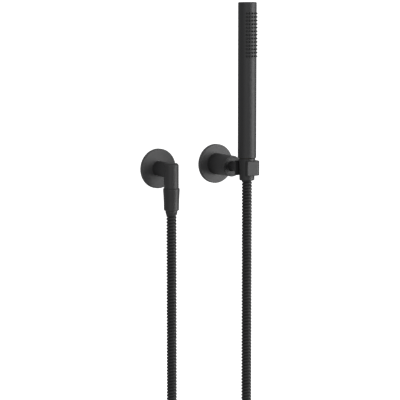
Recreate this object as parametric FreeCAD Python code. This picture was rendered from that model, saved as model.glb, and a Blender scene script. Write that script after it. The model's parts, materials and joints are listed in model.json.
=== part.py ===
import FreeCAD
import Part
import math
import os

# Hand shower set for a tiled wall: a water outlet elbow on its own round flange, a metal hose, and a
# stick hand shower that stands in a swivelling holder on a second flange.
# Frame: the wall face is the plane Y = 0, +X runs along the wall, -Y out of the wall, +Z up.
# The origin is the centre of the elbow's inlet thread at the wall face. All sizes are in millimetres.

# ---- driving dimensions -------------------------------------------------------------------------
# flanges
flange_radius = 30.0
flange_thickness = 5.0
flange_wall = 1.8
flange_rim_wall = 1.8
flange_round = 1.2
flange_gap = 0.2
gasket_width = 2.6
hub_wall = 3.4
hub_start = 0.8
hub_groove_start = 1.2
hub_groove_end = 3.1
hub_groove_depth = 1.75
flange_seal_section = 0.85
bracket_seal_section = 0.5
# where the bracket stands, measured from the outlet
bracket_spacing = 103.2
bracket_rise = 1.7
# elbow
elbow_reach = 40.1
elbow_arm_radius = 11.4
elbow_drop_radius = 11.0
elbow_top = 11.4
elbow_drop = 25.85
elbow_round = 4.0
elbow_wall_gap = 0.6
waterway_radius = 6.0
# G 1/2 threads, as their outside diameter
thread_radius = 10.48
thread_clearance = 0.07
inlet_thread_length = 16.0
outlet_thread_length = 10.1
thread_chamfer = 0.8
# inlet nipple's spigot in the elbow, and the outlet nipple's grip in the drop
nipple_bore = 5.5
nipple_grip = 8.5
spigot_radius = 8.0
spigot_length = 10.0
# check valve cartridge in the elbow
cartridge_radius = 8.5
cartridge_bore = 6.2
cartridge_length = 10.0
cartridge_lip = 1.5
cartridge_seat_radius = 4.4
cartridge_floor = 1.2
cartridge_port_radius = 1.3
poppet_radius = 5.2
poppet_thickness = 1.5
poppet_stem_radius = 1.2
poppet_stem_length = 9.0
spring_coil_radius = 2.6
spring_wire_radius = 0.25
spring_turns = 4
coil_points = 8
# hose nuts, tails, washers and ferrules, each measured down from the top of its nut
nut_gap = 0.5
nut_length = 33.3
nut_top_radius = 12.45
nut_collar = 2.5
nut_waist_depth = 20.0
nut_waist_radius = 11.5
nut_bottom_radius = 11.3
nut_chamfer = 0.6
nut_bevel = 1.0
nut_thread_depth = 9.6
washer_thickness = 2.0
washer_bore = 5.5
tail_collar_radius = 9.4
tail_collar_thickness = 2.4
tail_stem_radius = 5.6
tail_bore = 3.0
barb_pitch = 2.0
barb_rise = 0.35
throat_radius = 6.2
throat_length = 5.5
ferrule_radius = 9.0
ferrule_top_wall = 1.5
outlet_ferrule_length = 16.0
outlet_ferrule_taper = 4.0
handset_ferrule_length = 12.0
handset_ferrule_taper = 0.8
axial_gap = 0.05
turning_gap = 0.3
# hose
hose_radius = 7.7
sheath_wall = 2.4
liner_radius = 5.2
liner_wall = 1.2
hose_end_depth = 22.0
# bracket
bracket_radius = 16.0
bracket_length = 49.5
bracket_round = 0.8
plate_radius = 24.0
plate_thickness = 3.0
plate_spigot_radius = 9.0
plate_spigot_length = 14.0
plate_groove_depth = 0.8
plate_groove_half = 2.2
screw_spacing = 34.0
screw_radius = 2.0
screw_neck_radius = 2.2
screw_neck_end = 0.3
screw_hole_radius = 2.3
screw_head_radius = 4.2
screw_length = 28.0
screw_point = 4.0
recess_length = 3.6
recess_width = 0.8
grub_radius = 2.0
grub_position = 11.0
grub_length = 6.6
# swivel: a disc turns between two friction washers, a disc spring behind and a threaded ring in front
socket_wall = 2.5
socket_depth = 21.0
disc_radius = 12.8
disc_thickness = 4.0
washer_bore_radius = 6.0
friction_washer_thickness = 2.0
disc_spring_thickness = 0.7
disc_spring_height = 1.8
ring_recess = 0.3
ring_chamfer = 0.4
key_hole_radius = 0.6
key_hole_depth = 2.5
neck_radius = 7.3
neck_joint = 3.0
stud_radius = 4.0
stud_length = 12.0
# holder
seat_reach = 88.3
holder_half = 15.4
holder_corner = 7.5
holder_top = 13.9
holder_bottom = -8.3
holder_edge_round = 1.2
liner_thickness = 0.8
seat_gap = 0.3
fit_gap = 0.05
slot_tip = 8.8
slot_side = 7.85
# stick hand shower
nut_top_level = 17.5
tube_radius = 13.86
tube_wall = 1.2
tube_bottom = 17.8
tube_top = 249.5
tube_round = 1.6
cap_radius = 10.95
cap_depth = 10.0
connector_length = 16.0
pipe_radius = 4.0
pipe_wall = 0.9
pipe_socket = 6.0
limiter_radius = 6.4
limiter_bore = 0.8
limiter_thickness = 4.0
limiter_seat = 5.0
lock_radius = 1.5
lock_depth = 8.6
lock_screw_length = 2.8
# spray area
nozzle_rows = 13
nozzle_columns = 5
nozzle_pitch = 5.276
nozzle_angle = 18.75
first_nozzle_drop = 16.4
nozzle_height = 1.8
nozzle_tip_radius = 1.0
nozzle_root_radius = 1.25
nozzle_bore = 0.4
nozzle_hole_gap = 0.25
mat_thickness = 1.1
mat_border = 4.0
carrier_wall = 1.8
carrier_back = 5.2
feed_hole_radius = 0.7
o_ring_radius = 0.65

# ---- values worked out from them ----------------------------------------------------------------
V = FreeCAD.Vector
OUT = V(0, -1, 0)
DOWN = V(0, 0, -1)
UP = V(0, 0, 1)
outlet_wall = V(0, 0, 0)
bracket_wall = V(bracket_spacing, 0, bracket_rise)
outlet_axis = V(0, -elbow_reach, 0)
seat_axis = V(bracket_spacing, -seat_reach, 0)
outlet_nut_top = outlet_axis + V(0, 0, -elbow_drop - nut_gap)
handset_nut_top = seat_axis + V(0, 0, nut_top_level)
shoulder_depth = nut_thread_depth + washer_thickness + tail_collar_thickness + 2 * axial_gap
throat_end = shoulder_depth + throat_length
ferrule_depth = throat_end + 0.5
tube_bore = tube_radius - tube_wall
first_nozzle = tube_top - first_nozzle_drop
last_nozzle = first_nozzle - (nozzle_rows - 1) * nozzle_pitch
mat_outer = tube_bore - 0.1
mat_inner = mat_outer - mat_thickness
mat_top = first_nozzle + mat_border
mat_bottom = last_nozzle - mat_border
carrier_radius = mat_inner - 0.1
carrier_top = mat_top + 1.0
carrier_bottom = mat_bottom - 3.0
connector_top = tube_bottom + connector_length
parts = {}


# ---- helpers ------------------------------------------------------------------------------------
def turned(profile, base, axis):
    """Solid of revolution of [(radius, distance along axis from base), ...]."""
    points = [V(radius, 0, height) for radius, height in profile]
    face = Part.Face(Part.makePolygon(points + points[:1]))
    solid = face.revolve(V(0, 0, 0), UP, 360)
    if solid.Volume < 0:
        solid.reverse()
    solid.Placement = FreeCAD.Placement(base, FreeCAD.Rotation(UP, axis))
    return solid


def sleeve(outer, inner, start, end, base, axis):
    """Plain ring or tube between two distances along the axis."""
    return turned([(inner, start), (outer, start), (outer, end), (inner, end)], base, axis)


def rod(radius, start, end, base, axis):
    """Cylinder between two distances along the axis."""
    return Part.makeCylinder(radius, end - start, base + axis * start, axis)


def o_ring(ring_radius, height, base, axis, section=o_ring_radius):
    """Ring of round section round the axis."""
    return Part.makeTorus(ring_radius, section, base + axis * height, axis)


def rounded(shape, size, chosen):
    """Fillets the edges that the test picks."""
    return shape.makeFillet(size, [edge for edge in shape.Edges if chosen(edge)])


def hex_prism(across_flats, start, end, base, axis):
    """Six-sided prism, for sockets that take a hexagon key."""
    corner = across_flats / math.sqrt(3)
    turns = [math.radians(60 * k) for k in range(7)]
    wire = Part.makePolygon([V(corner * math.cos(a), corner * math.sin(a), 0) for a in turns])
    prism = Part.Face(wire).extrude(V(0, 0, end - start))
    prism.Placement = FreeCAD.Placement(base + axis * start, FreeCAD.Rotation(UP, axis))
    return prism


def set_screw(radius, length, base, axis, across_flats):
    """Headless screw whose hexagon socket is at the far end of the axis."""
    point = 0.4 * radius
    body = turned([(0, 0), (point, 0), (radius, radius - point), (radius, length), (0, length)], base, axis)
    return body.cut(hex_prism(across_flats, 0.5 * length, length + 1, base, axis))


# ---- outlet -------------------------------------------------------------------------------------
def dished_flange(base, hole_radius, hub):
    """Round cover plate, hollow behind, with an O-ring hub where it grips a tube."""
    inner_face = flange_thickness - flange_wall
    rim = flange_radius - flange_rim_wall
    outline = [(hole_radius, flange_thickness), (flange_radius, flange_thickness), (flange_radius, 0)]
    outline += [(rim, 0), (rim, inner_face)]
    if hub:
        hub_radius = hole_radius + hub_wall
        groove = hole_radius + hub_groove_depth
        outline += [(hub_radius, inner_face), (hub_radius, hub_start), (hole_radius, hub_start)]
        outline += [(hole_radius, hub_groove_start), (groove, hub_groove_start)]
        outline += [(groove, hub_groove_end), (hole_radius, hub_groove_end)]
    else:
        outline += [(hole_radius, inner_face)]
    plate = turned(outline, base, OUT)

    def is_rim(edge):
        at_front = abs(edge.BoundBox.YMin + flange_thickness) < 0.01 and edge.BoundBox.YLength < 0.01
        return at_front and abs(edge.BoundBox.ZLength - 2 * flange_radius) < 0.1

    return rounded(plate, min(flange_round, 0.6 * flange_rim_wall), is_rim)


def flange_gasket(base):
    """Soft ring behind the flange that keeps water out of the wall."""
    outer = flange_radius - flange_rim_wall - 0.1
    return sleeve(outer, outer - gasket_width, 0, flange_thickness - flange_wall - 0.1, base, OUT)


def wall_elbow():
    """Two crossed tubes: the arm comes out of the wall, the drop points down."""
    arm = rod(elbow_arm_radius, elbow_wall_gap, elbow_reach, outlet_wall, OUT)
    drop = rod(elbow_drop_radius, -elbow_top, elbow_drop, outlet_axis, DOWN)

    def is_crown(edge):
        return edge.BoundBox.ZMin > elbow_top - 0.01

    drop = rounded(drop, min(elbow_round, 0.4 * elbow_drop_radius), is_crown)
    body = arm.fuse(drop).removeSplitter()
    body = body.cut(rod(waterway_radius, 0, elbow_reach, outlet_wall, OUT))
    body = body.cut(rod(waterway_radius, -waterway_radius, elbow_drop, outlet_axis, DOWN))
    body = body.cut(rod(spigot_radius + fit_gap, 0, elbow_wall_gap + spigot_length, outlet_wall, OUT))
    return body.cut(rod(cartridge_radius + fit_gap, cartridge_start - 0.2, elbow_drop + 1, outlet_axis, DOWN))


def inlet_nipple():
    """Threaded nipple that goes into the pipe in the wall; its spigot seals in the elbow."""
    end = elbow_wall_gap - 0.1
    groove = spigot_radius - 2 * o_ring_radius
    middle = end + 0.5 * spigot_length
    half = o_ring_radius + 0.1
    outline = [(nipple_bore, -inlet_thread_length), (thread_radius - thread_chamfer, -inlet_thread_length)]
    outline += [(thread_radius, thread_chamfer - inlet_thread_length), (thread_radius, end)]
    outline += [(spigot_radius, end)]
    outline += [(spigot_radius, middle - half), (groove, middle - half), (groove, middle + half)]
    outline += [(spigot_radius, middle + half), (spigot_radius, end + spigot_length - 0.2)]
    outline += [(nipple_bore, end + spigot_length - 0.2)]
    return turned(outline, outlet_wall, OUT), middle


def coil_spring(base, coil_radius, wire_radius, height):
    """Open coil spring, its wire swept along short runs joined by tangent arcs."""
    count = spring_turns * coil_points
    corners = []
    for k in range(count + 1):
        angle = 2 * math.pi * k / coil_points
        corner = V(coil_radius * math.cos(angle), coil_radius * math.sin(angle), height * k / count)
        corners.append(base + corner)
    path, _ = rounded_path(corners)
    section = Part.Wire(Part.makeCircle(wire_radius, corners[0], corners[1] - corners[0]))
    return path.makePipeShell([section], True, False)


def check_valve():
    """Cartridge housing, its sprung poppet and the spring, from the top down."""
    end = cartridge_start + cartridge_length
    floor = end - cartridge_floor
    groove = cartridge_radius - 2 * o_ring_radius
    ring = cartridge_start + 3.0
    half = o_ring_radius + 0.1
    outline = [(cartridge_seat_radius, cartridge_start), (cartridge_radius, cartridge_start)]
    outline += [(cartridge_radius, ring - half), (groove, ring - half), (groove, ring + half)]
    outline += [(cartridge_radius, ring + half), (cartridge_radius, end)]
    outline += [(poppet_stem_radius + fit_gap, end), (poppet_stem_radius + fit_gap, floor)]
    outline += [(cartridge_bore, floor), (cartridge_bore, cartridge_start + cartridge_lip)]
    outline += [(cartridge_seat_radius, cartridge_start + cartridge_lip)]
    housing = turned(outline, outlet_axis, DOWN)
    for k in range(4):
        angle = math.radians(90 * k)
        offset = 0.5 * (cartridge_bore + spring_coil_radius)
        place = outlet_axis + V(offset * math.cos(angle), offset * math.sin(angle), 0)
        housing = housing.cut(rod(cartridge_port_radius, floor - 0.5, end + 0.5, place, DOWN))
    head = cartridge_start + cartridge_lip + axial_gap
    foot = head + poppet_thickness
    outline = [(0, head), (poppet_radius, head), (poppet_radius, foot)]
    outline += [(poppet_stem_radius, foot), (poppet_stem_radius, foot + poppet_stem_length - 1)]
    outline += [(0.6, foot + poppet_stem_length), (0, foot + poppet_stem_length)]
    poppet = turned(outline, outlet_axis, DOWN)
    room = floor - foot - 2 * spring_wire_radius - 0.1
    foot_level = -floor + spring_wire_radius + axial_gap
    spring = coil_spring(outlet_axis + V(0, 0, foot_level), spring_coil_radius, spring_wire_radius, room)
    seal = o_ring(cartridge_radius - o_ring_radius, ring, outlet_axis, DOWN)
    return housing, poppet, spring, seal


def outlet_nipple():
    """Nipple screwed into the elbow's drop; the hose nut goes on its lower thread."""
    top = cartridge_start + cartridge_length + 0.2
    bottom = elbow_drop + outlet_thread_length
    outline = [(waterway_radius, top), (cartridge_radius, top), (cartridge_radius, elbow_drop + axial_gap)]
    outline += [(thread_radius, elbow_drop + axial_gap), (thread_radius, bottom - thread_chamfer)]
    outline += [(thread_radius - thread_chamfer, bottom), (waterway_radius, bottom)]
    return turned(outline, outlet_axis, DOWN)


# ---- hose fittings, all measured down from the top of the nut ----------------------------------
def nut_radius(depth):
    """Outside radius of a hose nut at a depth below its top."""
    if depth < nut_collar:
        return nut_top_radius
    if depth < nut_waist_depth:
        share = (depth - nut_collar) / (nut_waist_depth - nut_collar)
        return nut_top_radius + share * (nut_waist_radius - nut_top_radius)
    share = (depth - nut_waist_depth) / (nut_length - nut_waist_depth)
    return nut_waist_radius + share * (nut_bottom_radius - nut_waist_radius)


def hose_nut(top):
    """Long conical union nut with its thread above and room for the ferrule below."""
    thread = thread_radius + thread_clearance
    pocket = ferrule_radius + turning_gap
    outline = [(thread, 0), (nut_top_radius - nut_chamfer, 0), (nut_top_radius, nut_chamfer)]
    outline += [(nut_top_radius, nut_collar), (nut_waist_radius, nut_waist_depth)]
    outline += [(nut_radius(nut_length - nut_bevel), nut_length - nut_bevel)]
    outline += [(nut_bottom_radius - nut_bevel, nut_length), (pocket, nut_length), (pocket, throat_end)]
    outline += [(throat_radius, throat_end), (throat_radius, shoulder_depth), (thread, shoulder_depth)]
    return turned(outline, top, DOWN)


def sealing_washer(top):
    """Rubber washer between the thread's end and the tail's collar."""
    start = nut_thread_depth
    return sleeve(thread_radius - 0.6, washer_bore, start, start + washer_thickness, top, DOWN)


def hose_tail(top, barb_end):
    """Brass tail: collar, smooth stem through the nut, and a ridged barb in the hose."""
    start = nut_thread_depth + washer_thickness + axial_gap
    collar_end = start + tail_collar_thickness
    barb = liner_radius - liner_wall - fit_gap
    outline = [(tail_bore, start), (tail_collar_radius, start), (tail_collar_radius, collar_end)]
    outline += [(tail_stem_radius, collar_end), (tail_stem_radius, ferrule_depth - axial_gap)]
    outline += [(barb, ferrule_depth - axial_gap)]
    ridge = ferrule_depth + ferrule_top_wall + 1
    while ridge + barb_pitch < barb_end:
        outline += [(barb, ridge), (barb - barb_rise, ridge), (barb, ridge + 0.9 * barb_pitch)]
        ridge += barb_pitch
    outline += [(barb - 0.5, barb_end), (tail_bore, barb_end)]
    return turned(outline, top, DOWN)


def crimp_ferrule(top, length, taper):
    """Sleeve crimped over the hose's end; the last stretch tapers down to the hose."""
    end = ferrule_depth + length + taper
    barb = liner_radius - liner_wall
    bore = hose_radius + fit_gap
    outline = [(barb, ferrule_depth), (ferrule_radius, ferrule_depth)]
    outline += [(ferrule_radius, end - taper), (bore + 0.2, end), (bore, end)]
    outline += [(bore, ferrule_depth + ferrule_top_wall), (barb, ferrule_depth + ferrule_top_wall)]
    return turned(outline, top, DOWN)


# ---- hose ---------------------------------------------------------------------------------------
def hose_route():
    """Chosen points of the hanging loop, from the outlet round to the hand shower."""
    run = seat_axis - outlet_axis
    span = run.Length
    side = V(run.x / span, run.y / span, 0)
    left = [(0, outlet_nut_top.z - hose_end_depth), (0, -405), (-19, -485), (-19, -533), (10, -573)]
    right = [(10, -573), (-19, -533), (-19, -485), (0, -405), (0, nut_top_level - hose_end_depth)]
    middle = [(0.5 * span, -588)]
    points = [outlet_axis + side * along + V(0, 0, level) for along, level in left + middle]
    points += [outlet_axis + side * (span - along) + V(0, 0, level) for along, level in right]
    return points


def rounded_path(points):
    """Straight runs joined by tangent arcs, each as large as its two runs allow."""
    edges = []
    radii = []
    start = points[0]
    for before, corner, after in zip(points, points[1:], points[2:]):
        incoming = (corner - before).normalize()
        outgoing = (after - corner).normalize()
        half_turn = 0.5 * incoming.getAngle(outgoing)
        setback = 0.45 * min((corner - before).Length, (after - corner).Length)
        radius = setback / math.tan(half_turn)
        arc_start = corner - incoming * setback
        arc_end = corner + outgoing * setback
        inward = (outgoing - incoming).normalize()
        arc_middle = corner + inward * (radius / math.cos(half_turn) - radius)
        edges.append(Part.LineSegment(start, arc_start).toShape())
        edges.append(Part.Arc(arc_start, arc_middle, arc_end).toShape())
        radii.append(round(radius, 1))
        start = arc_end
    edges.append(Part.LineSegment(start, points[-1]).toShape())
    return Part.Wire(edges), radii


def hose_layer(path, start, outer, inner):
    """One layer of the hose, swept along the whole route."""
    rim = Part.Wire(Part.makeCircle(outer, start, UP))
    bore = Part.Wire(Part.makeCircle(inner, start, UP))
    skin = path.makePipeShell([rim], True, False)
    return skin.cut(path.makePipeShell([bore], True, False))


# ---- bracket ------------------------------------------------------------------------------------
def screw_places():
    """Centres of the two fixing screws, one above the other."""
    return [bracket_wall + V(0, 0, sign * 0.5 * screw_spacing) for sign in (-1, 1)]


def wall_plate():
    """Hidden plate screwed to the wall; the bracket's body pushes onto its spigot."""
    tip = plate_thickness + plate_spigot_length
    groove = plate_spigot_radius - plate_groove_depth
    shallow = plate_groove_half + plate_groove_depth
    outline = [(0, 0), (plate_radius, 0), (plate_radius, plate_thickness)]
    outline += [(plate_spigot_radius, plate_thickness), (plate_spigot_radius, grub_position - shallow)]
    outline += [(groove, grub_position - plate_groove_half), (groove, grub_position + plate_groove_half)]
    outline += [(plate_spigot_radius, grub_position + shallow), (plate_spigot_radius, tip), (0, tip)]
    plate = turned(outline, bracket_wall, OUT)
    widest = screw_head_radius + 0.2
    sink = widest - screw_hole_radius
    for place in screw_places():
        plate = plate.cut(rod(screw_hole_radius, -1, plate_thickness + 1, place, OUT))
        hole = turned([(0, plate_thickness - sink), (screw_hole_radius, plate_thickness - sink),
                       (widest, plate_thickness), (0, plate_thickness)], place, OUT)
        plate = plate.cut(hole)
    return plate


def wall_screws():
    """Two countersunk screws with a crossed recess."""
    screws = []
    head = plate_thickness - 0.1
    under = head - (screw_head_radius - screw_neck_radius)
    for place in screw_places():
        outline = [(0, -screw_length), (screw_radius, screw_point - screw_length)]
        outline += [(screw_radius, -screw_neck_end), (screw_neck_radius, -screw_neck_end)]
        outline += [(screw_neck_radius, under), (screw_head_radius, head), (0, head)]
        screw = turned(outline, place, OUT)
        for wide, tall in ((recess_length, recess_width), (recess_width, recess_length)):
            recess = Part.makeBox(wide, 2, tall, place + V(-0.5 * wide, -head - 0.5, -0.5 * tall))
            screw = screw.cut(recess)
        screws.append(screw)
    return Part.makeCompound(screws)


def bracket_body():
    """Turned body: pushes onto the wall plate behind, holds the swivel in front."""
    back = plate_thickness + axial_gap
    socket = bracket_radius - socket_wall
    spigot_end = plate_thickness + plate_spigot_length + 1
    bore = plate_spigot_radius + fit_gap
    seal = flange_thickness - 0.5 * flange_wall
    half = bracket_seal_section + 0.05
    groove = bracket_radius - 2 * bracket_seal_section
    outline = [(bore, back), (bracket_radius, back), (bracket_radius, seal - half)]
    outline += [(groove, seal - half), (groove, seal + half)]
    outline += [(bracket_radius, seal + half), (bracket_radius, bracket_length)]
    outline += [(socket, bracket_length), (socket, socket_floor), (0, socket_floor), (0, spigot_end)]
    outline += [(bore, spigot_end)]
    body = turned(outline, bracket_wall, OUT)

    def is_front(edge):
        at_front = abs(edge.BoundBox.YMin + bracket_length) < 0.01 and edge.BoundBox.YLength < 0.01
        return at_front and abs(edge.BoundBox.ZLength - 2 * bracket_radius) < 0.1

    body = rounded(body, min(bracket_round, 0.4 * socket_wall), is_front)
    return body.cut(rod(grub_radius + fit_gap, 0, bracket_radius + 1, grub_place, DOWN))


def swivel_parts():
    """Disc spring, two friction washers, threaded ring and spindle, from the socket's floor out."""
    pocket = bracket_radius - socket_wall - fit_gap
    thick = disc_spring_thickness
    low = socket_floor + axial_gap
    high = low + disc_spring_height
    outline = [(washer_bore_radius, low), (washer_bore_radius + thick, low), (pocket - 0.5, high - thick)]
    outline += [(pocket - 0.5, high), (pocket - 0.5 - thick, high), (washer_bore_radius, low + thick)]
    spring = turned(outline, bracket_wall, OUT)
    rear_start = high + axial_gap
    rear_end = rear_start + friction_washer_thickness
    rear = sleeve(pocket, washer_bore_radius, rear_start, rear_end, bracket_wall, OUT)
    disc_start = rear_end + axial_gap
    disc_end = disc_start + disc_thickness
    front_start = disc_end + axial_gap
    front_end = front_start + friction_washer_thickness
    hole = neck_radius + turning_gap
    front = sleeve(pocket, hole, front_start, front_end, bracket_wall, OUT)
    ring_end = bracket_length - ring_recess
    outline = [(hole, front_end + axial_gap), (pocket, front_end + axial_gap)]
    outline += [(pocket, ring_end - ring_chamfer), (pocket - ring_chamfer, ring_end)]
    outline += [(hole + ring_chamfer, ring_end), (hole, ring_end - ring_chamfer)]
    ring = turned(outline, bracket_wall, OUT)
    offset = 0.5 * (hole + pocket)
    for sign in (-1, 1):
        place = bracket_wall + V(sign * offset, 0, 0)
        ring = ring.cut(rod(key_hole_radius, ring_end - key_hole_depth, ring_end + 1, place, OUT))
    outline = [(0, disc_start), (disc_radius, disc_start), (disc_radius, disc_end), (neck_radius, disc_end)]
    outline += [(neck_radius, neck_start), (stud_radius, neck_start), (stud_radius, stud_end - 1)]
    outline += [(stud_radius - 1, stud_end), (0, stud_end)]
    spindle = turned(outline, bracket_wall, OUT)
    return spring, rear, front, ring, spindle


# ---- holder -------------------------------------------------------------------------------------
def seat_radius(level, extra):
    """Radius of the tapered seat at a height, widened by an extra amount."""
    return nut_radius(nut_top_level - level) + seat_gap + extra


def seat_cone(extra):
    """Tapered plug that follows the hose nut through the whole height of the holder."""
    low = holder_bottom
    high = holder_top
    outline = [(0, low), (seat_radius(low, extra), low), (seat_radius(high, extra), high), (0, high)]
    return turned(outline, seat_axis, UP)


def slot_cut():
    """Room that lets the hose in from the left: past the short front prong, before the long back one."""
    reach = 2 * holder_half
    low = holder_bottom - 1
    tall = holder_top - holder_bottom + 2
    corner = seat_axis + V(-reach, -reach, low)
    return Part.makeBox(reach - slot_tip, reach + slot_side, tall, corner)


def holder():
    """Block with a tapered seat and a slot, on the neck that screws onto the spindle's stud."""
    tall = holder_top - holder_bottom
    corner = seat_axis + V(-holder_half, -holder_half, holder_bottom)
    block = Part.makeBox(2 * holder_half, 2 * holder_half, tall, corner)
    corner_round = min(holder_corner, 0.6 * holder_half)
    block = rounded(block, corner_round, lambda edge: edge.BoundBox.ZLength > 0.9 * tall)
    block = rounded(block, holder_edge_round, lambda edge: edge.BoundBox.ZLength < 0.01)
    neck = rod(neck_radius, neck_start, seat_reach - 0.95 * holder_half, bracket_wall, OUT)
    body = block.fuse(neck).removeSplitter()
    body = body.cut(seat_cone(liner_thickness + fit_gap))
    body = body.cut(slot_cut())
    body = body.cut(rod(stud_radius + fit_gap, neck_start - 1, stud_end + 0.5, bracket_wall, OUT))
    return body.cut(rod(lock_radius + fit_gap, 0, neck_radius + 1, lock_place, DOWN))


def holder_liner():
    """Thin plastic lining of the seat, open at the slot like the block."""
    lining = seat_cone(liner_thickness).cut(seat_cone(0))
    return lining.cut(slot_cut())


# ---- stick hand shower --------------------------------------------------------------------------
def nozzle_grid():
    """Height and direction of every nozzle."""
    middle = 0.5 * (nozzle_columns - 1)
    for row in range(nozzle_rows):
        for column in range(nozzle_columns):
            angle = math.radians((column - middle) * nozzle_angle)
            yield first_nozzle - row * nozzle_pitch, V(math.sin(angle), -math.cos(angle), 0)


def drilled(radius, start, end):
    """One short cylinder at every nozzle, joined in a compound."""
    holes = [rod(radius, start, end, seat_axis + V(0, 0, level), aim) for level, aim in nozzle_grid()]
    return Part.makeCompound(holes)


def shower_tube():
    """Metal tube of the handle with a hole for every nozzle."""
    lip = cap_radius + fit_gap
    shelf = tube_top - cap_depth - 0.5
    outline = [(tube_bore, tube_bottom), (tube_radius, tube_bottom), (tube_radius, tube_top)]
    outline += [(lip, tube_top), (lip, shelf), (tube_bore, shelf)]
    tube = turned(outline, seat_axis, UP)

    def is_top(edge):
        wide = abs(edge.BoundBox.XLength - 2 * tube_radius) < 0.1
        return edge.BoundBox.ZMin > tube_top - 0.01 and wide

    def is_bottom(edge):
        wide = abs(edge.BoundBox.XLength - 2 * tube_radius) < 0.1
        return edge.BoundBox.ZMax < tube_bottom + 0.01 and wide

    tube = rounded(tube, min(tube_round, 0.6 * (tube_radius - lip)), is_top)
    tube = rounded(tube, 0.7 * tube_wall, is_bottom)
    tube = tube.cut(drilled(nozzle_root_radius + nozzle_hole_gap, 0.5 * tube_radius, tube_radius + 1))
    return tube.cut(rod(lock_radius + fit_gap, 0, tube_radius + 1, tube_lock_place, -OUT))


def end_cap():
    """Plug that closes the top of the tube, with a groove for its O-ring."""
    groove = cap_radius - 2 * o_ring_radius
    middle = tube_top - 0.6 * cap_depth
    half = o_ring_radius + 0.1
    outline = [(0, tube_top - cap_depth), (cap_radius - 0.5, tube_top - cap_depth)]
    outline += [(cap_radius, tube_top - cap_depth + 0.5), (cap_radius, middle - half)]
    outline += [(groove, middle - half), (groove, middle + half), (cap_radius, middle + half)]
    outline += [(cap_radius, tube_top - 0.3), (cap_radius - 0.3, tube_top), (0, tube_top)]
    seal = o_ring(cap_radius - o_ring_radius, middle, seat_axis, UP)
    return turned(outline, seat_axis, UP), seal


def nozzle_mat():
    """Curved silicone strip with a pierced nozzle through every hole of the tube."""
    reach = 0.5 * (nozzle_columns - 1) * nozzle_angle + 0.7 * nozzle_angle
    edge = math.radians(-90 - reach)
    corners = [(mat_inner, mat_bottom), (mat_outer, mat_bottom), (mat_outer, mat_top), (mat_inner, mat_top)]
    across = V(math.cos(edge), math.sin(edge), 0)
    points = [seat_axis + across * radius + V(0, 0, level) for radius, level in corners]
    strip = Part.Face(Part.makePolygon(points + points[:1])).revolve(seat_axis, UP, 2 * reach)
    start = mat_outer - 0.6 * mat_thickness
    tip = tube_radius + nozzle_height
    outline = [(0, start), (nozzle_root_radius, start), (nozzle_root_radius, tube_radius)]
    outline += [(nozzle_tip_radius, tip), (0, tip)]
    nubs = [turned(outline, seat_axis + V(0, 0, level), aim) for level, aim in nozzle_grid()]
    return strip.fuse(nubs).cut(drilled(nozzle_bore, mat_inner - 1, tip + 1))


def d_prism(radius, back, low, high):
    """Round bar with a flat on the side towards the wall."""
    bar = rod(radius, low, high, seat_axis, UP)
    corner = seat_axis + V(-2 * radius, back, low - 1)
    return bar.cut(Part.makeBox(4 * radius, 2 * radius, high - low + 2, corner))


def nozzle_carrier():
    """Plastic water chamber behind the silicone strip, fed by the pipe from below."""
    shell = d_prism(carrier_radius, carrier_back, carrier_bottom, carrier_top)
    inside = d_prism(carrier_radius - carrier_wall, carrier_back - carrier_wall,
                     carrier_bottom + 2 * carrier_wall, carrier_top - carrier_wall)
    shell = shell.cut(inside)
    neck_end = carrier_bottom + 3 * carrier_wall
    shell = shell.cut(rod(pipe_radius + fit_gap, carrier_bottom - 1, neck_end, seat_axis, UP))
    return shell.cut(drilled(feed_hole_radius, carrier_radius - 1.5 * carrier_wall, carrier_radius + 1))


def inlet_connector():
    """Brass plug in the bottom of the tube: thread below, pipe socket above."""
    thread_end = nut_top_level - nut_thread_depth
    body = tube_bore - fit_gap
    middle = tube_bottom + 0.4 * connector_length
    groove = body - 2 * o_ring_radius
    half = o_ring_radius + 0.1
    outline = [(limiter_radius + fit_gap, thread_end), (thread_radius - thread_chamfer, thread_end)]
    outline += [(thread_radius, thread_end + thread_chamfer), (thread_radius, tube_bottom)]
    outline += [(body, tube_bottom), (body, middle - half), (groove, middle - half), (groove, middle + half)]
    outline += [(body, middle + half), (body, connector_top), (pipe_radius + fit_gap, connector_top)]
    outline += [(pipe_radius + fit_gap, connector_top - pipe_socket)]
    outline += [(pipe_radius - pipe_wall, connector_top - pipe_socket)]
    outline += [(pipe_radius - pipe_wall, thread_end + limiter_seat)]
    outline += [(limiter_radius + fit_gap, thread_end + limiter_seat)]
    connector = turned(outline, seat_axis, UP)
    screw_room = rod(lock_radius + fit_gap, lock_depth - 1.2, tube_radius + 1, tube_lock_place, -OUT)
    connector = connector.cut(screw_room)
    seal = o_ring(body - o_ring_radius, middle, seat_axis, UP)
    return connector, seal


def flow_limiter():
    """Disc with a ring of small holes that limits the flow."""
    start = nut_top_level - nut_thread_depth + 0.6
    disc = sleeve(limiter_radius, limiter_bore, start, start + limiter_thickness, seat_axis, UP)
    for k in range(6):
        angle = math.radians(60 * k)
        offset = 0.6 * limiter_radius
        place = seat_axis + V(offset * math.cos(angle), offset * math.sin(angle), 0)
        disc = disc.cut(rod(limiter_bore, start - 1, start + limiter_thickness + 1, place, UP))
    return disc


# ---- places that several pieces share -----------------------------------------------------------
cartridge_start = elbow_drop - nipple_grip - 0.2 - cartridge_length
grub_place = bracket_wall + OUT * grub_position
socket_floor = bracket_length - socket_depth
neck_start = bracket_length + neck_joint
stud_end = neck_start + stud_length
lock_place = bracket_wall + OUT * (neck_start + 0.5 * stud_length)
tube_lock_place = seat_axis + V(0, 0, connector_top - 4)

flange_seal_radius = elbow_arm_radius + flange_seal_section + 0.12
flange_seal_place = 0.5 * (hub_groove_start + hub_groove_end)

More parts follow.
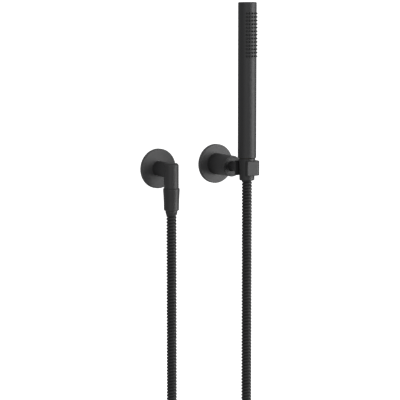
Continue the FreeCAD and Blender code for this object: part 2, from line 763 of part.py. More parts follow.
# ---- outlet set ---------------------------------------------------------------------------------
parts["outlet_flange"] = dished_flange(outlet_wall, elbow_arm_radius + flange_gap, True)
parts["outlet_flange_o_ring"] = o_ring(flange_seal_radius, flange_seal_place, outlet_wall, OUT,
                                        flange_seal_section)
parts["outlet_flange_gasket"] = flange_gasket(outlet_wall)
parts["wall_elbow"] = wall_elbow()
parts["inlet_nipple"], inlet_seal = inlet_nipple()
parts["inlet_nipple_o_ring"] = o_ring(spigot_radius - o_ring_radius, inlet_seal, outlet_wall, OUT)
housing, poppet, spring, cartridge_seal = check_valve()
parts["check_valve_housing"] = housing
parts["check_valve_poppet"] = poppet
parts["check_valve_spring"] = spring
parts["check_valve_o_ring"] = cartridge_seal
parts["outlet_nipple"] = outlet_nipple()
parts["outlet_washer"] = sealing_washer(outlet_nut_top)
parts["outlet_hose_nut"] = hose_nut(outlet_nut_top)
parts["outlet_hose_tail"] = hose_tail(outlet_nut_top, ferrule_depth + outlet_ferrule_length)
parts["outlet_ferrule"] = crimp_ferrule(outlet_nut_top, outlet_ferrule_length, outlet_ferrule_taper)

# ---- hose ---------------------------------------------------------------------------------------
route = hose_route()
hose_path, bend_radii = rounded_path(route)
parts["hose_sheath"] = hose_layer(hose_path, route[0], hose_radius, hose_radius - sheath_wall)
parts["hose_liner"] = hose_layer(hose_path, route[0], liner_radius, liner_radius - liner_wall)

# ---- bracket set --------------------------------------------------------------------------------
parts["bracket_flange"] = dished_flange(bracket_wall, bracket_radius + flange_gap, False)
parts["bracket_flange_o_ring"] = o_ring(bracket_radius - bracket_seal_section + 0.05,
                                        flange_thickness - 0.5 * flange_wall,
                                        bracket_wall, OUT, bracket_seal_section)
parts["bracket_flange_gasket"] = flange_gasket(bracket_wall)
parts["bracket_wall_plate"] = wall_plate()
parts["bracket_screws"] = wall_screws()
parts["bracket_body"] = bracket_body()
grub_point = grub_place + DOWN * (plate_spigot_radius - plate_groove_depth + 0.2)
parts["bracket_grub_screw"] = set_screw(grub_radius, grub_length, grub_point, DOWN, grub_radius)
disc_spring, rear_washer, front_washer, threaded_ring, spindle = swivel_parts()
parts["swivel_disc_spring"] = disc_spring
parts["swivel_rear_washer"] = rear_washer
parts["swivel_front_washer"] = front_washer
parts["swivel_threaded_ring"] = threaded_ring
parts["swivel_spindle"] = spindle
parts["holder"] = holder()
parts["holder_liner"] = holder_liner()
parts["stud_lock_screw"] = set_screw(lock_radius, lock_screw_length, lock_place + DOWN * (stud_radius + 0.1),
                                     DOWN, lock_radius)

# ---- hand shower --------------------------------------------------------------------------------
parts["handset_hose_nut"] = hose_nut(handset_nut_top)
parts["handset_washer"] = sealing_washer(handset_nut_top)
parts["handset_hose_tail"] = hose_tail(handset_nut_top, ferrule_depth + handset_ferrule_length - 2)
parts["handset_ferrule"] = crimp_ferrule(handset_nut_top, handset_ferrule_length, handset_ferrule_taper)
parts["shower_tube"] = shower_tube()
parts["shower_end_cap"], parts["end_cap_o_ring"] = end_cap()
parts["nozzle_mat"] = nozzle_mat()
parts["nozzle_carrier"] = nozzle_carrier()
parts["inner_pipe"] = sleeve(pipe_radius, pipe_radius - pipe_wall, connector_top - 5.8,
                             carrier_bottom + 1.5 * carrier_wall, seat_axis, UP)
parts["inlet_connector"], parts["connector_o_ring"] = inlet_connector()
parts["connector_lock_screw"] = set_screw(lock_radius, tube_radius - lock_depth - 0.3,
                                          tube_lock_place - OUT * lock_depth, -OUT, lock_radius)
parts["flow_limiter"] = flow_limiter()

# ---- export -------------------------------------------------------------------------------------
os.makedirs("parts", exist_ok=True)
for name, shape in parts.items():
    if not shape.isValid() or shape.Volume <= 0:
        raise ValueError(name + " is not a sound solid")
    shape.exportStep("parts/" + name + ".step")
section_area = math.pi * (hose_radius ** 2 - (hose_radius - sheath_wall) ** 2)
print("nodes", len(parts))
print("hose bend radii", bend_radii)
print("hose length", round(hose_path.Length, 1))
print("sheath volume over section times length",
      round(parts["hose_sheath"].Volume / (section_area * hose_path.Length), 4))
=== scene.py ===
"""Satin black hand shower set: wall outlet elbow, wound metal hose, swivelling holder and stick shower.

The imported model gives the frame, and most of its pieces stay and are dressed here. The hose and the
threads that stand behind the wall face are modelled as new pieces. Everything is in metres.
"""
import json
import logging
import math
from bisect import bisect_right
from dataclasses import dataclass, field
from enum import Enum
from typing import Dict, List, Optional, Sequence, Tuple, Union

import bpy
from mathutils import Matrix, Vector


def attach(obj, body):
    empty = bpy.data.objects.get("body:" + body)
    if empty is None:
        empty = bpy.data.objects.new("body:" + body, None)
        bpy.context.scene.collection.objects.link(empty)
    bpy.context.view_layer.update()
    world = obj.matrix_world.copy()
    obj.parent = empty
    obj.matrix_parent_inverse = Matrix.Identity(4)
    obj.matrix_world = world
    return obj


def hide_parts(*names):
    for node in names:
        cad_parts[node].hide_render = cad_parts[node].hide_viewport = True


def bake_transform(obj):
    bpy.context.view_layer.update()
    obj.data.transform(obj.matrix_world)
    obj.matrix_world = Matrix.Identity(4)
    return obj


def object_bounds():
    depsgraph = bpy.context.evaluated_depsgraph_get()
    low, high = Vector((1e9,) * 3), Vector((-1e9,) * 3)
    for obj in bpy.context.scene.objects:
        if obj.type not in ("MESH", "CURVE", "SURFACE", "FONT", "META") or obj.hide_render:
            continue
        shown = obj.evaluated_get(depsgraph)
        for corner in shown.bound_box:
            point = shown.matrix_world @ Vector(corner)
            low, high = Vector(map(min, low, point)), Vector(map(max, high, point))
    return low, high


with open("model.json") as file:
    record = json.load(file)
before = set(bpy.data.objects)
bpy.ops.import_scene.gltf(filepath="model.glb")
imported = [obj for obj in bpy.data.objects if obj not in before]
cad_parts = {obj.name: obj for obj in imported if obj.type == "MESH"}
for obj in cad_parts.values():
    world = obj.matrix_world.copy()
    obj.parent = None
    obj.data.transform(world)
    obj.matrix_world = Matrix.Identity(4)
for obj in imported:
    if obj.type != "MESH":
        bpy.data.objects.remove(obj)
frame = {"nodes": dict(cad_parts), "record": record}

CAD_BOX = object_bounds()
MM = 0.001
LOG = logging.getLogger("hand_shower_set")

Point = Tuple[float, float, float]
Colour = Tuple[float, float, float, float]
Quad = Tuple[int, int, int, int]
Number = Union[float, "Value"]


# ---- shader building ----------------------------------------------------------------------------
class Maths(Enum):
    """Operations that a Math node can do here."""

    ADD = "ADD"
    SUBTRACT = "SUBTRACT"
    MULTIPLY = "MULTIPLY"


class Value:
    """A number socket that takes part in plain arithmetic."""

    def __init__(self, bench: "ShaderBench", socket: bpy.types.NodeSocket) -> None:
        """Keeps the bench and the socket."""
        self.bench = bench
        self.socket = socket

    def __add__(self, other: Number) -> "Value":
        """Sum."""
        return self.bench.maths(Maths.ADD, self, other)

    def __radd__(self, other: Number) -> "Value":
        """Sum with a number on the left."""
        return self.bench.maths(Maths.ADD, other, self)

    def __sub__(self, other: Number) -> "Value":
        """Difference."""
        return self.bench.maths(Maths.SUBTRACT, self, other)

    def __rsub__(self, other: Number) -> "Value":
        """Difference from a number on the left."""
        return self.bench.maths(Maths.SUBTRACT, other, self)

    def __mul__(self, other: Number) -> "Value":
        """Product."""
        return self.bench.maths(Maths.MULTIPLY, self, other)

    def __rmul__(self, other: Number) -> "Value":
        """Product with a number on the left."""
        return self.bench.maths(Maths.MULTIPLY, other, self)


class NodeBench:
    """One node tree and the nodes that are added to it."""

    def __init__(self, block: Union[bpy.types.Material, bpy.types.World]) -> None:
        """Empties the block's node tree.

        Args:
            block: The material or world whose nodes are made.
        """
        block.use_nodes = True
        self.tree = block.node_tree
        self.tree.nodes.clear()

    def add(self, kind: str, settings: Optional[Dict] = None,
            inputs: Optional[Dict] = None) -> bpy.types.Node:
        """Adds one node.

        Args:
            kind: The node's type.
            settings: Properties, set first.
            inputs: Values or links, by socket name or number.

        Returns:
            The new node.
        """
        node = self.tree.nodes.new(kind)
        for key, value in (settings or {}).items():
            setattr(node, key, value)
        for key, value in (inputs or {}).items():
            self.feed(node.inputs[key], value)
        return node

    def feed(self, socket: bpy.types.NodeSocket, value: object) -> None:
        """Links a socket or value to an input, or sets the input's own number.

        Args:
            socket: The input.
            value: A Value, a socket, or a plain number, colour or vector.
        """
        if isinstance(value, Value):
            self.tree.links.new(value.socket, socket)
        elif isinstance(value, bpy.types.NodeSocket):
            self.tree.links.new(value, socket)
        else:
            socket.default_value = value


class ShaderBench(NodeBench):
    """One material, with the patterns and sums that its surface is made from."""

    NOISE_ROUGHNESS = 0.55

    def __init__(self, name: str) -> None:
        """Makes an empty material.

        Args:
            name: The material's name.
        """
        self.material = bpy.data.materials.new(name)
        super().__init__(self.material)
        self.position = self.add("ShaderNodeTexCoord").outputs["Object"]

    def maths(self, operation: Maths, first: Number, second: Number) -> Value:
        """Adds a Math node.

        Args:
            operation: What it does.
            first: The first number.
            second: The second number.

        Returns:
            The result.
        """
        node = self.add("ShaderNodeMath", {"operation": operation.value}, {0: first, 1: second})
        return Value(self, node.outputs[0])

    def noise(self, size: float, detail: float, stretch: Point = (1, 1, 1)) -> Value:
        """Adds a noise pattern in object space.

        Args:
            size: Size of its features, in metres.
            detail: Number of finer layers.
            stretch: How much longer the features are along each axis.

        Returns:
            A number around 0.5.
        """
        scale = [1 / (size * s) for s in stretch]
        place = self.add("ShaderNodeMapping", None, {"Vector": self.position, "Scale": scale})
        node = self.add("ShaderNodeTexNoise", None,
                        {"Vector": place.outputs[0], "Scale": 1.0, "Detail": detail,
                         "Roughness": self.NOISE_ROUGHNESS})
        return Value(self, node.outputs["Fac"])

    def masked(self, value: Value, low: float, high: float) -> Value:
        """Turns a pattern into a soft mask.

        Args:
            value: The pattern.
            low: Where the mask is 0.
            high: Where the mask is 1.

        Returns:
            The mask.
        """
        node = self.add("ShaderNodeMapRange", {"interpolation_type": "SMOOTHSTEP"},
                        {"Value": value, "From Min": low, "From Max": high})
        return Value(self, node.outputs[0])

    def mixed(self, share: Number, first: object, second: object) -> bpy.types.NodeSocket:
        """Mixes two colours.

        Args:
            share: Share of the second colour.
            first: The first colour.
            second: The second colour.

        Returns:
            The mixed colour's socket.
        """
        node = self.add("ShaderNodeMix", {"data_type": "RGBA"}, {0: share, 6: first, 7: second})
        return node.outputs[2]

    def bump(self, height: Value, depth: float) -> bpy.types.NodeSocket:
        """Adds a bump.

        Args:
            height: Pattern of heights from 0 to 1.
            depth: Real depth of the pattern, in metres.

        Returns:
            The normal's socket.
        """
        return self.add("ShaderNodeBump", None, {"Height": height, "Distance": depth}).outputs[0]

    def finish(self, **inputs: object) -> bpy.types.Material:
        """Adds the surface shader.

        Args:
            inputs: The shader's values, with _ for a space in each name.

        Returns:
            The finished material.
        """
        named = {key.replace("_", " "): value for key, value in inputs.items()}
        shader = self.add("ShaderNodeBsdfPrincipled", None, named)
        self.add("ShaderNodeOutputMaterial", None, {"Surface": shader.outputs[0]})
        return self.material


# ---- finishes -----------------------------------------------------------------------------------
@dataclass(frozen=True)
class PowderCoat:
    """Fine satin black powder coat with a faint grain and soft handling marks."""

    name: str
    colour: Colour = (0.0165, 0.0165, 0.0172, 1)
    dusty: Colour = (0.026, 0.026, 0.027, 1)
    roughness: float = 0.5
    grain: float = 0.00045
    grain_depth: float = 0.000012
    cloud: float = 0.045
    streak: float = 0.012

    def build(self) -> bpy.types.Material:
        """Makes the material.

        Returns:
            The material.
        """
        bench = ShaderBench(self.name)
        clouds = bench.noise(self.cloud, detail=3.0)
        grain = bench.noise(self.grain, detail=2.0)
        speckle = bench.masked(bench.noise(0.4 * self.grain, detail=1.0), low=0.58, high=0.74)
        streaks = bench.noise(self.streak, detail=2.0, stretch=(1, 1, 4))
        share = 0.35 * clouds + 0.3 * grain + 0.35 * speckle
        roughness = self.roughness - 0.05 + 0.07 * clouds + 0.05 * grain - 0.04 * streaks
        return bench.finish(Base_Color=bench.mixed(share, self.colour, self.dusty), Roughness=roughness,
                            Normal=bench.bump(grain, self.grain_depth), Specular_IOR_Level=0.5)


@dataclass(frozen=True)
class WoundStrip:
    """Black-coated wound steel strip, rubbed a little smoother on the crowns of its turns; its colour is
    painted darker into the valleys between turns as painted shade.
    """

    name: str
    crown: Colour = (0.012, 0.012, 0.0125, 1)
    # Near-black painted shade for the valleys between the turns.
    shaded_valley: Colour = (0.002, 0.002, 0.0021, 1)
    roughness: float = 0.56
    grain: float = 0.0004
    grain_depth: float = 0.00001
    rub: float = 0.009

    def build(self) -> bpy.types.Material:
        """Makes the material. The crown's share comes from the hose's own attribute.

        Returns:
            The material.
        """
        bench = ShaderBench(self.name)
        share = bench.add("ShaderNodeAttribute", {"attribute_name": "crown"}).outputs["Fac"]
        crown = Value(bench, share)
        grain = bench.noise(self.grain, detail=2.0)
        rub = bench.masked(bench.noise(self.rub, detail=3.0, stretch=(1, 1, 2)), low=0.42, high=0.68)
        # Painted shade: the colour runs from near black in the valleys between the turns to the coat's
        # black on the crowns.
        colour = bench.mixed(crown, self.shaded_valley, self.crown)
        roughness = self.roughness - 0.1 * crown * rub - 0.06 * crown + 0.06 * grain
        return bench.finish(Base_Color=colour, Roughness=roughness,
                            Normal=bench.bump(grain, self.grain_depth), Specular_IOR_Level=0.5)


@dataclass(frozen=True)
class SoftMoulding:
    """Rubber, silicone or foam: matt, with a fine skin texture."""

    name: str
    colour: Colour
    bloom: Colour
    roughness: float = 0.72
    pore: float = 0.0006
    pore_depth: float = 0.00004
    cloud: float = 0.012

    def build(self) -> bpy.types.Material:
        """Makes the material.

        Returns:
            The material.
        """
        bench = ShaderBench(self.name)
        pores = bench.noise(self.pore, detail=2.0)
        bloom = bench.masked(bench.noise(self.cloud, detail=3.0), low=0.4, high=0.75)
        colour = bench.mixed(0.6 * bloom + 0.2 * pores, self.colour, self.bloom)
        return bench.finish(Base_Color=colour, Roughness=self.roughness + 0.1 * pores,
                            Normal=bench.bump(pores, self.pore_depth))


@dataclass(frozen=True)
class TurnedMetal:
    """Turned or stamped metal with fine tool lines and a thin oxide film."""

    name: str
    bright: Colour
    dull: Colour
    roughness: float = 0.3
    line: float = 0.0005
    line_depth: float = 0.000012
    film: float = 0.006

    def build(self) -> bpy.types.Material:
        """Makes the material.

        Returns:
            The material.
        """
        bench = ShaderBench(self.name)
        lines = bench.noise(self.line, detail=2.0, stretch=(8, 1, 8))
        film = bench.masked(bench.noise(self.film, detail=4.0), low=0.42, high=0.7)
        colour = bench.mixed(0.7 * film + 0.2 * lines, self.bright, self.dull)
        return bench.finish(Base_Color=colour, Metallic=1.0,
                            Roughness=self.roughness + 0.16 * film + 0.1 * lines,
                            Normal=bench.bump(lines, self.line_depth))


@dataclass(frozen=True)
class MouldedPlastic:
    """Plain moulded plastic with a faint spark-eroded grain."""

    name: str
    colour: Colour
    shade: Colour
    roughness: float = 0.45
    grain: float = 0.0003
    grain_depth: float = 0.00001
    flow: float = 0.02

    def build(self) -> bpy.types.Material:
        """Makes the material.

        Returns:
            The material.
        """
        bench = ShaderBench(self.name)
        grain = bench.noise(self.grain, detail=2.0)
        flow = bench.noise(self.flow, detail=3.0)
        colour = bench.mixed(0.6 * flow + 0.2 * grain, self.colour, self.shade)
        return bench.finish(Base_Color=colour, Roughness=self.roughness + 0.12 * grain,
                            Normal=bench.bump(grain, self.grain_depth))


FINISHES = {
    # The flange's coat is painted about three times lighter than the other black coats. This is painted
    # light, standing in for the light that falls on the wall plate.
    "black_flange": PowderCoat("black_flange_coat_painted_light", (0.048, 0.048, 0.049, 1), (0.064, 0.064, 0.065, 1)),
    "black_metal": PowderCoat("black_fitting_coat", (0.02, 0.02, 0.0207, 1), (0.03, 0.03, 0.031, 1)),
    "black_holder": PowderCoat("black_holder_coat"),
    "black_tube": PowderCoat("black_tube_coat"),
    "black_nut": PowderCoat("black_nut_coat", roughness=0.46),
    "black_ferrule": PowderCoat("black_ferrule_coat", roughness=0.46),
    "hose_metal": WoundStrip("black_wound_strip"),
    "rubber": SoftMoulding("black_seal_rubber", (0.012, 0.012, 0.012, 1), (0.03, 0.03, 0.03, 1)),
    "foam_rubber": SoftMoulding("foam_gasket", (0.03, 0.03, 0.03, 1), (0.06, 0.06, 0.06, 1),
                                roughness=0.9, pore=0.0011, pore_depth=0.0002),
    "silicone": SoftMoulding("nozzle_silicone", (0.012, 0.012, 0.0125, 1), (0.02, 0.02, 0.021, 1),
                             roughness=0.55),
    "lining_plastic": MouldedPlastic("lining_plastic", (0.012, 0.012, 0.012, 1), (0.02, 0.02, 0.02, 1)),
    "white_plastic": MouldedPlastic("natural_plastic", (0.72, 0.72, 0.69, 1), (0.62, 0.62, 0.58, 1)),
    "brass": TurnedMetal("turned_brass", (0.78, 0.57, 0.25, 1), (0.5, 0.33, 0.14, 1)),
    "steel": TurnedMetal("machined_steel", (0.56, 0.56, 0.55, 1), (0.36, 0.35, 0.34, 1), roughness=0.34),
}


class CarriedPieces:
    """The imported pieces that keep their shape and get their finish."""

    def dress(self) -> None:
        """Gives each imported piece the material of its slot."""
        made = {}
        for entry in frame["record"]["subparts"]:
            slot = entry["material_slot"]
            if slot not in made:
                made[slot] = FINISHES[slot].build()
            piece = frame["nodes"][entry["node"]]
            for index in range(len(piece.data.materials)):
                piece.data.materials[index] = made[slot]
            LOG.info("dressed %s in %s", entry["node"], made[slot].name)


# ---- hose ---------------------------------------------------------------------------------------
@dataclass
class WoundHose:
    """Hanging metal hose: a helical strip wound round a curve that follows the route."""

    route: Sequence[Point] = (
        (0.0, -0.0401, -0.04835),
        (0.0, -0.0401, -0.323),
        (0.0, -0.0401, -0.405),
        (-0.01722, -0.03206, -0.485),
        (-0.01722, -0.03206, -0.533),
        (0.00906, -0.04433, -0.573),
        (0.0516, -0.0642, -0.588),
        (0.09414, -0.08407, -0.573),
        (0.12042, -0.09634, -0.533),
        (0.12042, -0.09634, -0.485),
        (0.1032, -0.0883, -0.405),
        (0.1032, -0.0883, -0.323),
        (0.1032, -0.0883, -0.0045),
    )
    curve_order: int = 3
    curve_steps: int = 48
    real_length: float = 1.25
    diameter: float = 0.01538
    groove: float = 0.0017
    pitch: float = 0.0048
    sides: int = 28
    rings_per_turn: int = 9
    profile: Sequence[float] = (0.0, 0.55, 0.86, 0.98, 1.0, 0.98, 0.88, 0.7, 0.2)
    exit: Point = (0.0, -0.0401, -0.0664)
    bend_start: Point = (0.0366, -0.088, -0.0901)
    bend_end: Point = (0.103, -0.088, -0.045)

    def build(self) -> bpy.types.Object:
        """Winds the strip along the curve.

        Returns:
            The hose's mesh object.
        """
        path = self.centreline()
        vertices, crowns = self.wind(path)
        mesh = bpy.data.meshes.new("hose")
        mesh.from_pydata(vertices, [], self.skin(len(vertices)))
        # The crown attribute also masks the strip's painted shade, which is darkest in the valleys.
        crown = mesh.attributes.new("crown", "FLOAT", "POINT")
        crown.data.foreach_set("value", crowns)
        hose = bpy.data.objects.new("hose", mesh)
        bpy.context.scene.collection.objects.link(hose)
        mesh.shade_smooth()
        mesh.materials.append(FINISHES["hose_metal"].build())
        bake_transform(hose)
        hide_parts("hose_sheath", "hose_liner")
        return hose

    def centreline(self) -> List[Vector]:
        """Reads the points of the curve that the route makes.

        Returns:
            Points along the hose's centre.
        """
        curve = bpy.data.curves.new("hose_route", "CURVE")
        curve.dimensions = "3D"
        curve.resolution_u = self.curve_steps
        spline = curve.splines.new("NURBS")
        spline.points.add(len(self.route) - 1)
        for point, place in zip(spline.points, self.route):
            point.co = (*place, 1)
        spline.order_u = self.curve_order
        spline.use_endpoint_u = True
        holder = bpy.data.objects.new("hose_route", curve)
        bpy.context.scene.collection.objects.link(holder)
        bpy.context.view_layer.update()
        graph = bpy.context.evaluated_depsgraph_get()
        read = bpy.data.meshes.new_from_object(holder.evaluated_get(graph))
        points = [vertex.co.copy() for vertex in read.vertices]
        bpy.data.objects.remove(holder)
        bpy.data.meshes.remove(read)
        bpy.data.curves.remove(curve)
        return points

    def carried_frames(self, directions: Sequence[Vector]) -> List[Tuple[Vector, Vector]]:
        """Carries two cross directions along the curve without twist.

        Args:
            directions: The curve's direction at each of its points.

        Returns:
            The two cross directions at each point.
        """
        across = Vector((1, 0, 0))
        frames = []
        for direction in directions:
            across = (across - direction * across.dot(direction)).normalized()
            frames.append((across.copy(), direction.cross(across)))
        return frames

    def wind(self, path: Sequence[Vector]) -> Tuple[List[Vector], List[float]]:
        """Places the points of the strip's surface, row after row along a helix.

        Args:
            path: Points along the hose's centre.

        Returns:
            The points, and each one's height from the valley (0) to the crown (1).
        """
        stations = [0.0]
        for before, after in zip(path, path[1:]):
            stations.append(stations[-1] + (after - before).length)
        directions = [(after - before).normalized() for before, after in zip(path, path[1:])]
        directions.append(directions[-1])
        frames = self.carried_frames(directions)
        step = self.pitch / self.rings_per_turn
        vertices: List[Vector] = []
        crowns: List[float] = []
        for row in range(int((stations[-1] - self.pitch) / step)):
            height = self.profile[row % self.rings_per_turn]
            radius = 0.5 * self.diameter - self.groove * (1 - height)
            for side in range(self.sides):
                station = row * step + side * self.pitch / self.sides
                segment = bisect_right(stations, station) - 1
                share = (station - stations[segment]) / (stations[segment + 1] - stations[segment])
                centre = path[segment].lerp(path[segment + 1], share)
                across = frames[segment][0].lerp(frames[segment + 1][0], share)
                aside = frames[segment][1].lerp(frames[segment + 1][1], share)
                turn = 2 * math.pi * side / self.sides
                vertices.append(centre + radius * (math.cos(turn) * across + math.sin(turn) * aside))
                crowns.append(height)
        return vertices, crowns

    def skin(self, count: int) -> List[Quad]:
        """Joins the points with faces; a row's last side meets the first side one turn further on.

        Args:
            count: The number of points.

        Returns:
            The faces.
        """
        faces: List[Quad] = []
        for row in range(count // self.sides - 1):
            for side in range(self.sides):
                low = row * self.sides + side
                beside = low + 1
                if side == self.sides - 1:
                    beside = (row + self.rings_per_turn) * self.sides
                if beside + self.sides < count:
                    faces.append((low, beside, beside + self.sides, low + self.sides))
        return faces


# ---- threaded pieces ----------------------------------------------------------------------------
class Lathe:
    """Operator steps that the threaded pieces share. Every axis runs along Y."""

    OUTLINE_WELD = 0.001 * MM
    SURFACE_WELD = 0.002 * MM
    SMOOTH_ANGLE = math.radians(35)
    TOOTH_BASE_SHARE = 0.86
    TOOTH_CREST_SHARE = 0.2

    @staticmethod
    def turn(name: str, outline: Sequence[Tuple[float, float]], centre: Point,
             steps: int) -> bpy.types.Object:
        """Draws an outline and spins it round its axis.

        Args:
            name: The piece's name.
            outline: Closed outline as (radius, distance along Y from the centre), in metres.
            centre: A point on the axis.
            steps: Number of faces round the axis.

        Returns:
            The turned piece, out of edit mode and smooth by angle.
        """
        start = Vector(centre) + Vector((outline[0][0], outline[0][1], 0))
        bpy.ops.object.select_all(action="DESELECT")
        bpy.ops.mesh.primitive_plane_add(size=MM, location=start)
        piece = bpy.context.active_object
        piece.name = name
        bpy.ops.object.mode_set(mode="EDIT")
        bpy.ops.mesh.select_all(action="SELECT")
        bpy.ops.mesh.merge(type="CENTER")
        loop = list(outline) + [outline[0]]
        for before, after in zip(loop, loop[1:]):
            bpy.ops.mesh.extrude_region()
            bpy.ops.transform.translate(value=(after[0] - before[0], after[1] - before[1], 0))
        Lathe.weld(Lathe.OUTLINE_WELD)
        bpy.ops.mesh.spin(steps=steps, angle=2 * math.pi, center=centre, axis=(0, 1, 0))
        Lathe.weld(Lathe.SURFACE_WELD)
        bpy.ops.mesh.normals_make_consistent(inside=False)
        bpy.ops.object.mode_set(mode="OBJECT")
        return Lathe.finished(piece)

    @staticmethod
    def thread(name: str, centre: Point, start: float, turns: int, pitch: float, root: float, crest: float,
               steps: int) -> bpy.types.Object:
        """Winds a tooth round its axis.

        Args:
            name: The piece's name.
            centre: A point on the axis.
            start: Distance from the centre along Y where the thread starts.
            turns: Number of turns.
            pitch: Distance between turns.
            root: Radius at which the tooth starts.
            crest: Radius of its crest.
            steps: Number of faces in one turn.

        Returns:
            The thread's ridge, as a closed coil.
        """
        bpy.ops.object.select_all(action="DESELECT")
        bpy.ops.mesh.primitive_plane_add(size=1, location=centre)
        ridge = bpy.context.active_object
        ridge.name = name
        depth = crest - root
        middle = start + 0.5 * pitch
        bpy.ops.object.mode_set(mode="EDIT")
        bpy.ops.transform.resize(value=(depth, Lathe.TOOTH_BASE_SHARE * pitch, 1), center_override=centre)
        bpy.ops.transform.translate(value=(root + 0.5 * depth, middle, 0))
        bpy.ops.object.mode_set(mode="OBJECT")
        for vertex in ridge.data.vertices:
            vertex.select = vertex.co.x > root + 0.5 * depth
        for edge in ridge.data.edges:
            edge.select = all(ridge.data.vertices[k].select for k in edge.vertices)
        for polygon in ridge.data.polygons:
            polygon.select = False
        bpy.ops.object.mode_set(mode="EDIT")
        bpy.ops.transform.resize(value=(1, Lathe.TOOTH_CREST_SHARE, 1),
                                 center_override=Vector(centre) + Vector((crest, middle, 0)))
        bpy.ops.object.mode_set(mode="OBJECT")
        screw = ridge.modifiers.new("winding", "SCREW")
        screw.axis = "Y"
        screw.angle = 2 * math.pi
        screw.screw_offset = pitch
        screw.iterations = turns
        screw.steps = steps
        screw.render_steps = steps
        bpy.ops.object.modifier_apply(modifier=screw.name)
        bpy.ops.object.mode_set(mode="EDIT")
        Lathe.weld(Lathe.SURFACE_WELD)
        bpy.ops.mesh.fill_holes(sides=4)
        bpy.ops.mesh.select_all(action="SELECT")
        bpy.ops.mesh.normals_make_consistent(inside=False)
        bpy.ops.object.mode_set(mode="OBJECT")
        return Lathe.finished(ridge)

    @staticmethod
    def weld(distance: float) -> None:
        """Merges points of the mesh in edit mode, and leaves everything selected.

        Args:
            distance: Points closer than this are merged, in metres.
        """
        bpy.ops.mesh.select_all(action="SELECT")
        bpy.ops.mesh.remove_doubles(threshold=distance)
        bpy.ops.mesh.select_all(action="SELECT")

    @staticmethod
    def finished(piece: bpy.types.Object) -> bpy.types.Object:
        """Puts a piece's place into its mesh and smooths it by angle.

        Args:
            piece: The piece, out of edit mode.

        Returns:
            The same piece.
        """
        bpy.ops.object.select_all(action="DESELECT")
        piece.select_set(True)
        bpy.context.view_layer.objects.active = piece
        bpy.ops.object.transform_apply(location=True, rotation=True, scale=True)
        bpy.ops.object.shade_smooth_by_angle(angle=Lathe.SMOOTH_ANGLE)
        return piece

    @staticmethod
    def joined(name: str, pieces: Sequence[bpy.types.Object]) -> bpy.types.Object:
        """Joins pieces into one object.

        Args:
            name: The joined piece's name.
            pieces: The pieces, of which the first one stays.

        Returns:
            The joined piece.
        """
        bpy.ops.object.select_all(action="DESELECT")
        for piece in pieces:
            piece.select_set(True)
        bpy.context.view_layer.objects.active = pieces[0]
        bpy.ops.object.join()
        pieces[0].name = name
        return pieces[0]


@dataclass
class ThreadedNipple:
    """Brass nipple that screws into the pipe in the wall, with its real thread."""

    centre: Point = (0.0, 0.0, 0.0)
    bore: float = 5.5 * MM
    crest: float = 10.46 * MM
    root: float = 9.35 * MM
    sunk: float = 0.15 * MM
    pitch: float = 1.814 * MM
    turns: int = 8
    thread_start: float = 0.3 * MM
    thread_end: float = 16 * MM
    bevel: float = 0.6 * MM
    collar_end: float = -0.5 * MM
    spigot: float = 8 * MM
    spigot_end: float = -10.3 * MM
    steps: int = 64

    def build(self) -> bpy.types.Object:
        """Makes the nipple.

        Returns:
            The nipple.
        """
        outline = [(self.bore, self.thread_end), (self.root - self.bevel, self.thread_end),
                   (self.root, self.thread_end - self.bevel), (self.root, self.collar_end),
                   (self.spigot, self.collar_end), (self.spigot, self.spigot_end),
                   (self.bore, self.spigot_end)]
        core = Lathe.turn("inlet_nipple_core", outline, self.centre, self.steps)
        ridge = Lathe.thread("inlet_nipple_ridge", self.centre, self.thread_start, self.turns, self.pitch,
                             self.root - self.sunk, self.crest, self.steps)
        nipple = Lathe.joined("threaded_inlet_nipple", [core, ridge])
        nipple.data.materials.append(FINISHES["brass"].build())
        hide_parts("inlet_nipple")
        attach(nipple, "wall_set")
        return nipple


@dataclass
class WallScrews:
    """The two screws that hold the bracket's plate, with their cut threads."""

    centre_height: float = 1.7 * MM
    across: float = 103.2 * MM
    spacing: float = 34 * MM
    crest: float = 1.98 * MM
    root: float = 1.3 * MM
    sunk: float = 0.1 * MM
    pitch: float = 1.8 * MM
    turns: int = 12
    shank_end: float = 0.5 * MM
    run_out: float = 1.4 * MM
    thread_start: float = 1.6 * MM
    length: float = 28 * MM
    point: float = 4 * MM
    tip: float = 0.1 * MM
    head: float = 4.2 * MM
    head_face: float = -2.9 * MM
    steps: int = 24

    def build(self) -> List[bpy.types.Object]:
        """Makes both screws, one above the other.

        Returns:
            The two screws.
        """
        screws = []
        for sign, name in ((-1, "lower_wall_screw"), (1, "upper_wall_screw")):
            centre = (self.across, 0.0, self.centre_height + sign * 0.5 * self.spacing)
            screws.append(self.one(name, centre))
        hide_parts("bracket_screws")
        return screws

    def one(self, name: str, centre: Point) -> bpy.types.Object:
        """Makes one screw.

        Args:
            name: Its name.
            centre: The point on its axis at the wall face.

        Returns:
            The screw.
        """
        under_head = self.head_face + self.head - self.crest
        outline = [(self.tip, self.head_face), (self.head, self.head_face), (self.crest, under_head),
                   (self.crest, self.shank_end), (self.root, self.run_out),
                   (self.root, self.length - self.point), (self.tip, self.length)]
        core = Lathe.turn(name + "_core", outline, centre, self.steps)
        ridge = Lathe.thread(name + "_ridge", centre, self.thread_start, self.turns, self.pitch,
                             self.root - self.sunk, self.crest, self.steps)
        screw = Lathe.joined(name, [core, ridge])
        screw.data.materials.append(FINISHES["steel"].build())
        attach(screw, "wall_set")
        return screw


# ---- studio -------------------------------------------------------------------------------------
@dataclass
class Softbox:
    """One soft rectangular light that points at the set."""

    name: str
    place: Point
    wide: float
    tall: float
    power: float
    aim: Point = (0.05, -0.05, -0.05)

    def build(self) -> None:
        """Adds the light."""
        data = bpy.data.lights.new(self.name, "AREA")
        data.shape = "RECTANGLE"
        data.size = self.wide
        data.size_y = self.tall
        data.energy = self.power
        light = bpy.data.objects.new(self.name, data)
        light.location = self.place
        towards = Vector(self.aim) - Vector(self.place)
        light.rotation_euler = towards.to_track_quat("-Z", "Y").to_euler()
        bpy.context.scene.collection.objects.link(light)


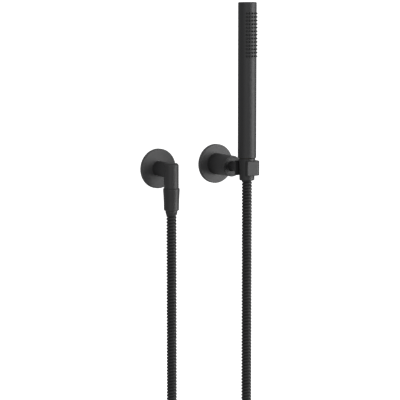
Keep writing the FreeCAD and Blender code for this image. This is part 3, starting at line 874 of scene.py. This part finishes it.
@dataclass
class Studio:
    """Camera, soft lights, pale floor and pale surroundings."""

    camera_place: Point = (-1.49584, -2.44817, 0.31119)
    camera_aim: Point = (0.5362, 0.8349, -0.1243)
    lens: float = 172.36
    sensor: float = 36.0
    far_clip: float = 500.0
    floor_size: float = 120.0
    floor_drop: float = 0.03
    floor_tones: Tuple[Colour, Colour] = ((0.92, 0.92, 0.92, 1), (0.95, 0.95, 0.95, 1))
    floor_cloud: float = 0.6
    floor_roughness: float = 0.9
    floor_glow: float = 0.95
    seen_white: Colour = (1, 1, 1, 1)
    dim_light: Colour = (0.36, 0.36, 0.363, 1)
    lights: List[Softbox] = field(default_factory=lambda: [
        Softbox("key_softbox", (1.25, -2.0, 0.45), wide=1.2, tall=1.8, power=16),
        Softbox("right_softbox", (1.72, -1.42, 0.15), wide=1.1, tall=2.0, power=29),
        Softbox("front_fill", (-2.2, -2.2, 0.9), wide=2.6, tall=2.6, power=24),
    ])

    def build(self) -> None:
        """Sets the studio up."""
        self.add_camera()
        for light in self.lights:
            light.build()
        self.add_floor()
        self.add_surroundings()
        bpy.context.scene.view_settings.view_transform = "Standard"

    def add_camera(self) -> None:
        """Adds the camera at its measured place."""
        data = bpy.data.cameras.new("camera")
        data.lens = self.lens
        data.sensor_width = self.sensor
        data.clip_end = self.far_clip
        camera = bpy.data.objects.new("camera", data)
        camera.location = self.camera_place
        camera.rotation_euler = Vector(self.camera_aim).to_track_quat("-Z", "Y").to_euler()
        bpy.context.scene.collection.objects.link(camera)
        bpy.context.scene.camera = camera

    def add_floor(self) -> None:
        """Adds the pale floor a little below the hose's loop."""
        level = CAD_BOX[0][2] - self.floor_drop
        bpy.ops.object.select_all(action="DESELECT")
        bpy.ops.mesh.primitive_plane_add(size=self.floor_size, location=(0, 0, level))
        floor = bpy.context.active_object
        floor.name = "floor"
        bench = ShaderBench("pale_floor")
        tone = bench.mixed(bench.noise(self.floor_cloud, detail=2.0), *self.floor_tones)
        floor.data.materials.append(bench.finish(Base_Color=tone, Roughness=self.floor_roughness,
                                                 Emission_Color=self.seen_white,
                                                 Emission_Strength=self.floor_glow))
        floor.visible_glossy = False
        floor.visible_diffuse = False

    def add_surroundings(self) -> None:
        """Makes the surroundings white to look at and dim as a light."""
        world = bpy.data.worlds.new("pale_surroundings")
        bench = NodeBench(world)
        seen = bench.add("ShaderNodeBackground", None, {"Color": self.seen_white})
        dim = bench.add("ShaderNodeBackground", None, {"Color": self.dim_light})
        rays = bench.add("ShaderNodeLightPath")
        mix = bench.add("ShaderNodeMixShader", None,
                        {0: rays.outputs["Is Camera Ray"], 1: dim.outputs[0], 2: seen.outputs[0]})
        bench.add("ShaderNodeOutputWorld", None, {"Surface": mix.outputs[0]})
        bpy.context.scene.world = world


# ---- the set ------------------------------------------------------------------------------------
def main() -> None:
    """Builds the set in order and reports each piece."""
    logging.basicConfig(level=logging.INFO, format="%(name)s: %(message)s")
    bpy.ops.object.select_all(action="DESELECT")
    Studio().build()
    CarriedPieces().dress()
    hose = WoundHose().build()
    LOG.info("made %s with %d faces", hose.name, len(hose.data.polygons))
    nipple = ThreadedNipple().build()
    LOG.info("made %s", nipple.name)
    for screw in WallScrews().build():
        LOG.info("made %s", screw.name)


if __name__ == "__main__":
    main()
